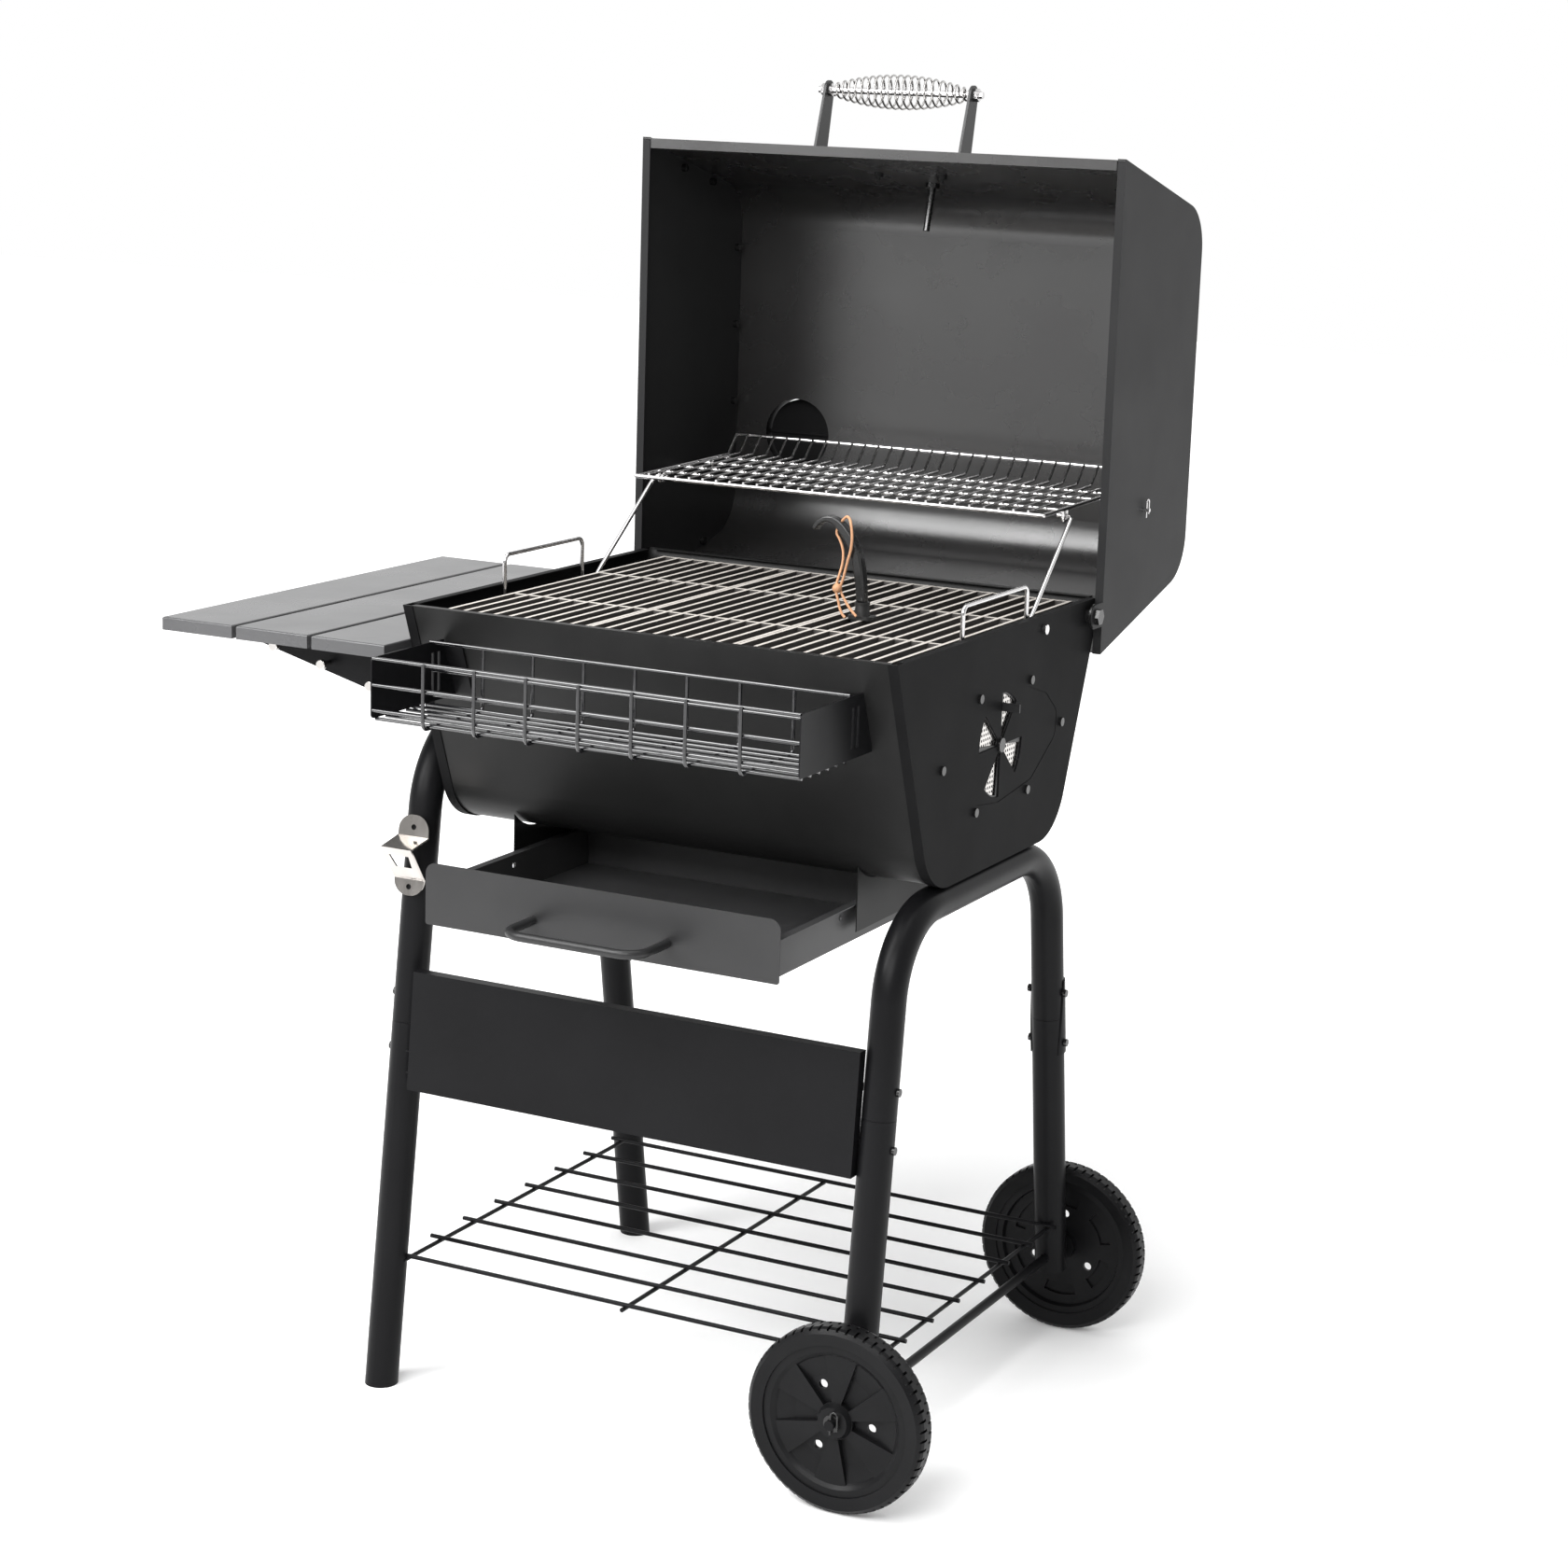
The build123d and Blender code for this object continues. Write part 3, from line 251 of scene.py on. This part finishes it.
def grate_iron():
    """Dark enamel whose upward faces are painted pale with a speckle, a painted reflection of the overhead softbox."""
    recipe = Recipe("grate_enamel")
    speckle = recipe.noise(420, 5)
    # painted reflection: the pale speckled colour goes on faces that point up, standing in for the overhead softbox's
    # reflection; the sides keep the dark enamel
    top = recipe.blend(recipe.span(speckle, 0, 1), (0.40, 0.37, 0.335), (0.56, 0.53, 0.49))
    upward = recipe.span(recipe.facing_up(), 0, 1, 0.55, 0.9)
    recipe.link(recipe.blend(upward, (0.05, 0.045, 0.042), top), "Base Color")
    recipe.link(recipe.span(recipe.noise(60, 4), 0.42, 0.62), "Roughness")
    recipe.bump(speckle, 0.4, 0.0002)
    return recipe.material


def moulded(name, colour, rough, coat=0.0, specular=0.5):
    """Smooth black plastic, or paint that lies as thick as plastic on a wire."""
    recipe = Recipe(name)
    lighter = tuple(channel * 1.5 for channel in colour)
    recipe.link(recipe.blend(recipe.span(recipe.noise(18, 4), 0, 1), colour, lighter), "Base Color")
    recipe.link(recipe.span(recipe.noise(40, 4), rough - 0.05, rough + 0.07), "Roughness")
    recipe.bump(recipe.noise(900, 2), 0.3, 0.0001)
    recipe.set(Coat_Weight=coat, Coat_Roughness=0.08, Specular_IOR_Level=specular)
    return recipe.material


def lace_leather():
    recipe = Recipe("lace_leather")
    grain = recipe.noise(1400, 5)
    recipe.link(recipe.blend(recipe.span(grain, 0, 1), (0.36, 0.17, 0.08), (0.62, 0.34, 0.19)), "Base Color")
    recipe.link(recipe.span(grain, 0.5, 0.75), "Roughness")
    recipe.bump(grain, 0.6, 0.0003)
    return recipe.material


# darker and lighter shade, roughness, then what differs from the usual grain and shine
COATS = {
    "baked_enamel": ((0.014, 0.014, 0.0145), (0.020, 0.020, 0.0205), 0.38, {"specular": 0.32}),
    "lid_enamel": ((0.016, 0.0155, 0.0155), (0.018, 0.0175, 0.0175), 0.27, {"specular": 0.85, "grain_depth": 0.00002}),
    # painted light: the same black enamel, painted a little lighter for the lid ends' shaded inner faces, and given
    # less shine
    "lid_side_enamel_painted_light": ((0.019, 0.019, 0.0195), (0.022, 0.022, 0.0225), 0.45, {"specular": 0.08}),
    # painted shade: the same black enamel as baked_enamel, painted darker and given less shine, for the fire box wrap
    # and ash chute
    "barrel_enamel_painted_shade": ((0.009, 0.009, 0.009), (0.013, 0.013, 0.013), 0.40, {"specular": 0.14}),
    # painted shade: the same black enamel, painted darker and given almost no shine, for the fire box end plates and
    # the exhaust collar and damper
    "plate_enamel_painted_shade": ((0.008, 0.008, 0.0083), (0.011, 0.011, 0.0114), 0.50, {"specular": 0.02}),
    # painted light: the same black enamel, painted lighter, standing in for light falling inside the drawer pan
    "pan_enamel_painted_light": ((0.030, 0.030, 0.031), (0.040, 0.040, 0.041), 0.45, {}),
    "powder_coat": ((0.005, 0.005, 0.0055), (0.007, 0.007, 0.0077), 0.36, {"specular": 0.10}),
    "black_screws": ((0.006, 0.006, 0.006), (0.010, 0.010, 0.010), 0.22, {}),
    "table_paint": ((0.058, 0.058, 0.060), (0.068, 0.068, 0.070), 0.28, {}),
    "claw_iron": ((0.008, 0.008, 0.008), (0.014, 0.014, 0.014), 0.42, {"grain": 300, "grain_depth": 0.0004}),
}
METALS = {
    "bright_wire": ((0.70, 0.69, 0.69), 0.14, {}),
    "spring_wire": ((0.42, 0.41, 0.40), 0.18, {}),
    "probe_steel": ((0.12, 0.12, 0.12), 0.25, {}),
    "stainless": ((0.62, 0.60, 0.58), 0.14, {"stretch": (1, 1, 0.3), "grain": 60}),
    "mirror_steel": ((0.58, 0.55, 0.52), 0.10, {"stretch": (1, 1, 0.3), "grain": 40}),
}
PLASTICS = {
    "basket_wire": ((0.005, 0.005, 0.006), 0.16, {"coat": 0.8}),
    "wheel_plastic": ((0.005, 0.005, 0.0054), 0.36, {"specular": 0.12}),
    "grip_plastic": ((0.006, 0.006, 0.006), 0.26, {"coat": 0.3}),
}

# nodes whose finish is a variant of their slot's; the plate and barrel variants are the same black enamel painted
# darker as painted shade, the pan and lid side variants the same enamel painted lighter as painted light
VARIANTS = {
    "firebox_end_left": "plate_enamel_painted_shade",
    "firebox_end_right": "plate_enamel_painted_shade",
    "firebox_wrap": "barrel_enamel_painted_shade",
    "ash_chute": "barrel_enamel_painted_shade",
    "drawer_pan": "pan_enamel_painted_light",
    "lid_wrap": "lid_enamel",
    "lid_end_left": "lid_side_enamel_painted_light",
    "lid_end_right": "lid_side_enamel_painted_light",
    "exhaust_collar": "plate_enamel_painted_shade",
    "exhaust_damper": "plate_enamel_painted_shade",
    "handle_coil": "spring_wire",
    "thermometer": "probe_steel",
    "bottle_opener": "mirror_steel",
}


def make_materials():
    made = {"grate_enamel": grate_iron(), "lace_leather": lace_leather()}
    for name, (dark, light, rough, extra) in COATS.items():
        made[name] = coated_steel(name, dark, light, rough, **extra)
    for name, (colour, rough, extra) in METALS.items():
        made[name] = bright_metal(name, colour, rough, **extra)
    for name, (colour, rough, extra) in PLASTICS.items():
        made[name] = moulded(name, colour, rough, **extra)
    return made


def dress(materials):
    for part in frame["record"]["subparts"]:
        finish = VARIANTS.get(part["node"], part["material_slot"])
        mesh = frame["nodes"][part["node"]].data
        mesh.materials.clear()
        mesh.materials.append(materials[finish])


# ---------------------------------------------------------------- lid handle spring

# mm: the handle rod's middle line, half the spring's length, then its radius at the ends and in the middle
ROD_Y, ROD_Z = 312.98, 1463.75
COIL_HALF = 86.0
COIL_END, COIL_MIDDLE = 6.4, 19.4
COIL_WIRE = 1.25
COIL_TURNS = 19
STEPS_PER_TURN = 24
COIL_BELLY = 0.8  # below 1 the spring swells early and stays wide


def add_handle_coil(material):
    curve = bpy.data.curves.new("handle_coil_spring", "CURVE")
    curve.dimensions = "3D"
    curve.bevel_depth = COIL_WIRE * MM
    curve.bevel_resolution = 4
    curve.resolution_u = 2
    curve.use_fill_caps = True
    steps = COIL_TURNS * STEPS_PER_TURN
    line = curve.splines.new("POLY")
    line.points.add(steps)
    for k in range(steps + 1):
        t = k / steps
        radius = COIL_END + (COIL_MIDDLE - COIL_END) * math.sin(math.pi * t) ** COIL_BELLY
        turn = 2 * math.pi * COIL_TURNS * t
        at = place(COIL_HALF * (2 * t - 1), ROD_Y + radius * math.sin(turn), ROD_Z - radius * math.cos(turn))
        line.points[k].co = (*at, 1)
    spring = bpy.data.objects.new("handle_coil_spring", curve)
    curve.materials.append(material)
    bpy.context.collection.objects.link(spring)
    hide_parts("handle_coil")
    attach(spring, "lid")


# ---------------------------------------------------------------- leather lace on the grate lifter

# mm, from the first tail's tip up through the knot, round the grip's hole and back down to the second tail's tip
LACE_ROUTE = [(129.5, -22, 901.5), (121, -20.5, 908), (113, -19, 918), (105.5, -17.5, 929), (110, -17.5, 941),
              (112, -17, 951.3), (114.4, -16.8, 962), (117.8, -16.8, 974), (118.7, -16.8, 988.3),
              (116.5, -16, 1001), (112.5, -12, 1008), (104.5, -6, 1009), (92, -6, 990.5), (99, -6.3, 982),
              (104.5, -8, 970), (105.5, -11, 957), (104, -14.5, 946), (101.5, -20.5, 930), (106, -22, 919),
              (109.5, -23, 908), (113.5, -24, 901.5), (117.5, -25, 899)]
LACE = 3.0  # the lace's width, mm


def add_lace(material):
    curve = bpy.data.curves.new("lace_strand", "CURVE")
    curve.dimensions = "3D"
    curve.bevel_depth = LACE / 2 * MM
    curve.bevel_resolution = 4
    curve.resolution_u = 12
    curve.use_fill_caps = True
    line = curve.splines.new("NURBS")
    line.points.add(len(LACE_ROUTE) - 1)
    for point, at in zip(line.points, LACE_ROUTE):
        point.co = (*place(*at), 1)
    line.order_u = 3
    line.use_endpoint_u = True
    curve.materials.append(material)
    strand = bpy.data.objects.new("lace_strand", curve)
    bpy.context.collection.objects.link(strand)
    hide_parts("leather_lace")
    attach(strand, "lifter")


# ---------------------------------------------------------------- make everything

materials = make_materials()
add_camera()
add_world()
add_stage()
dress(materials)
add_handle_coil(materials["spring_wire"])
add_lace(materials["lace_leather"])
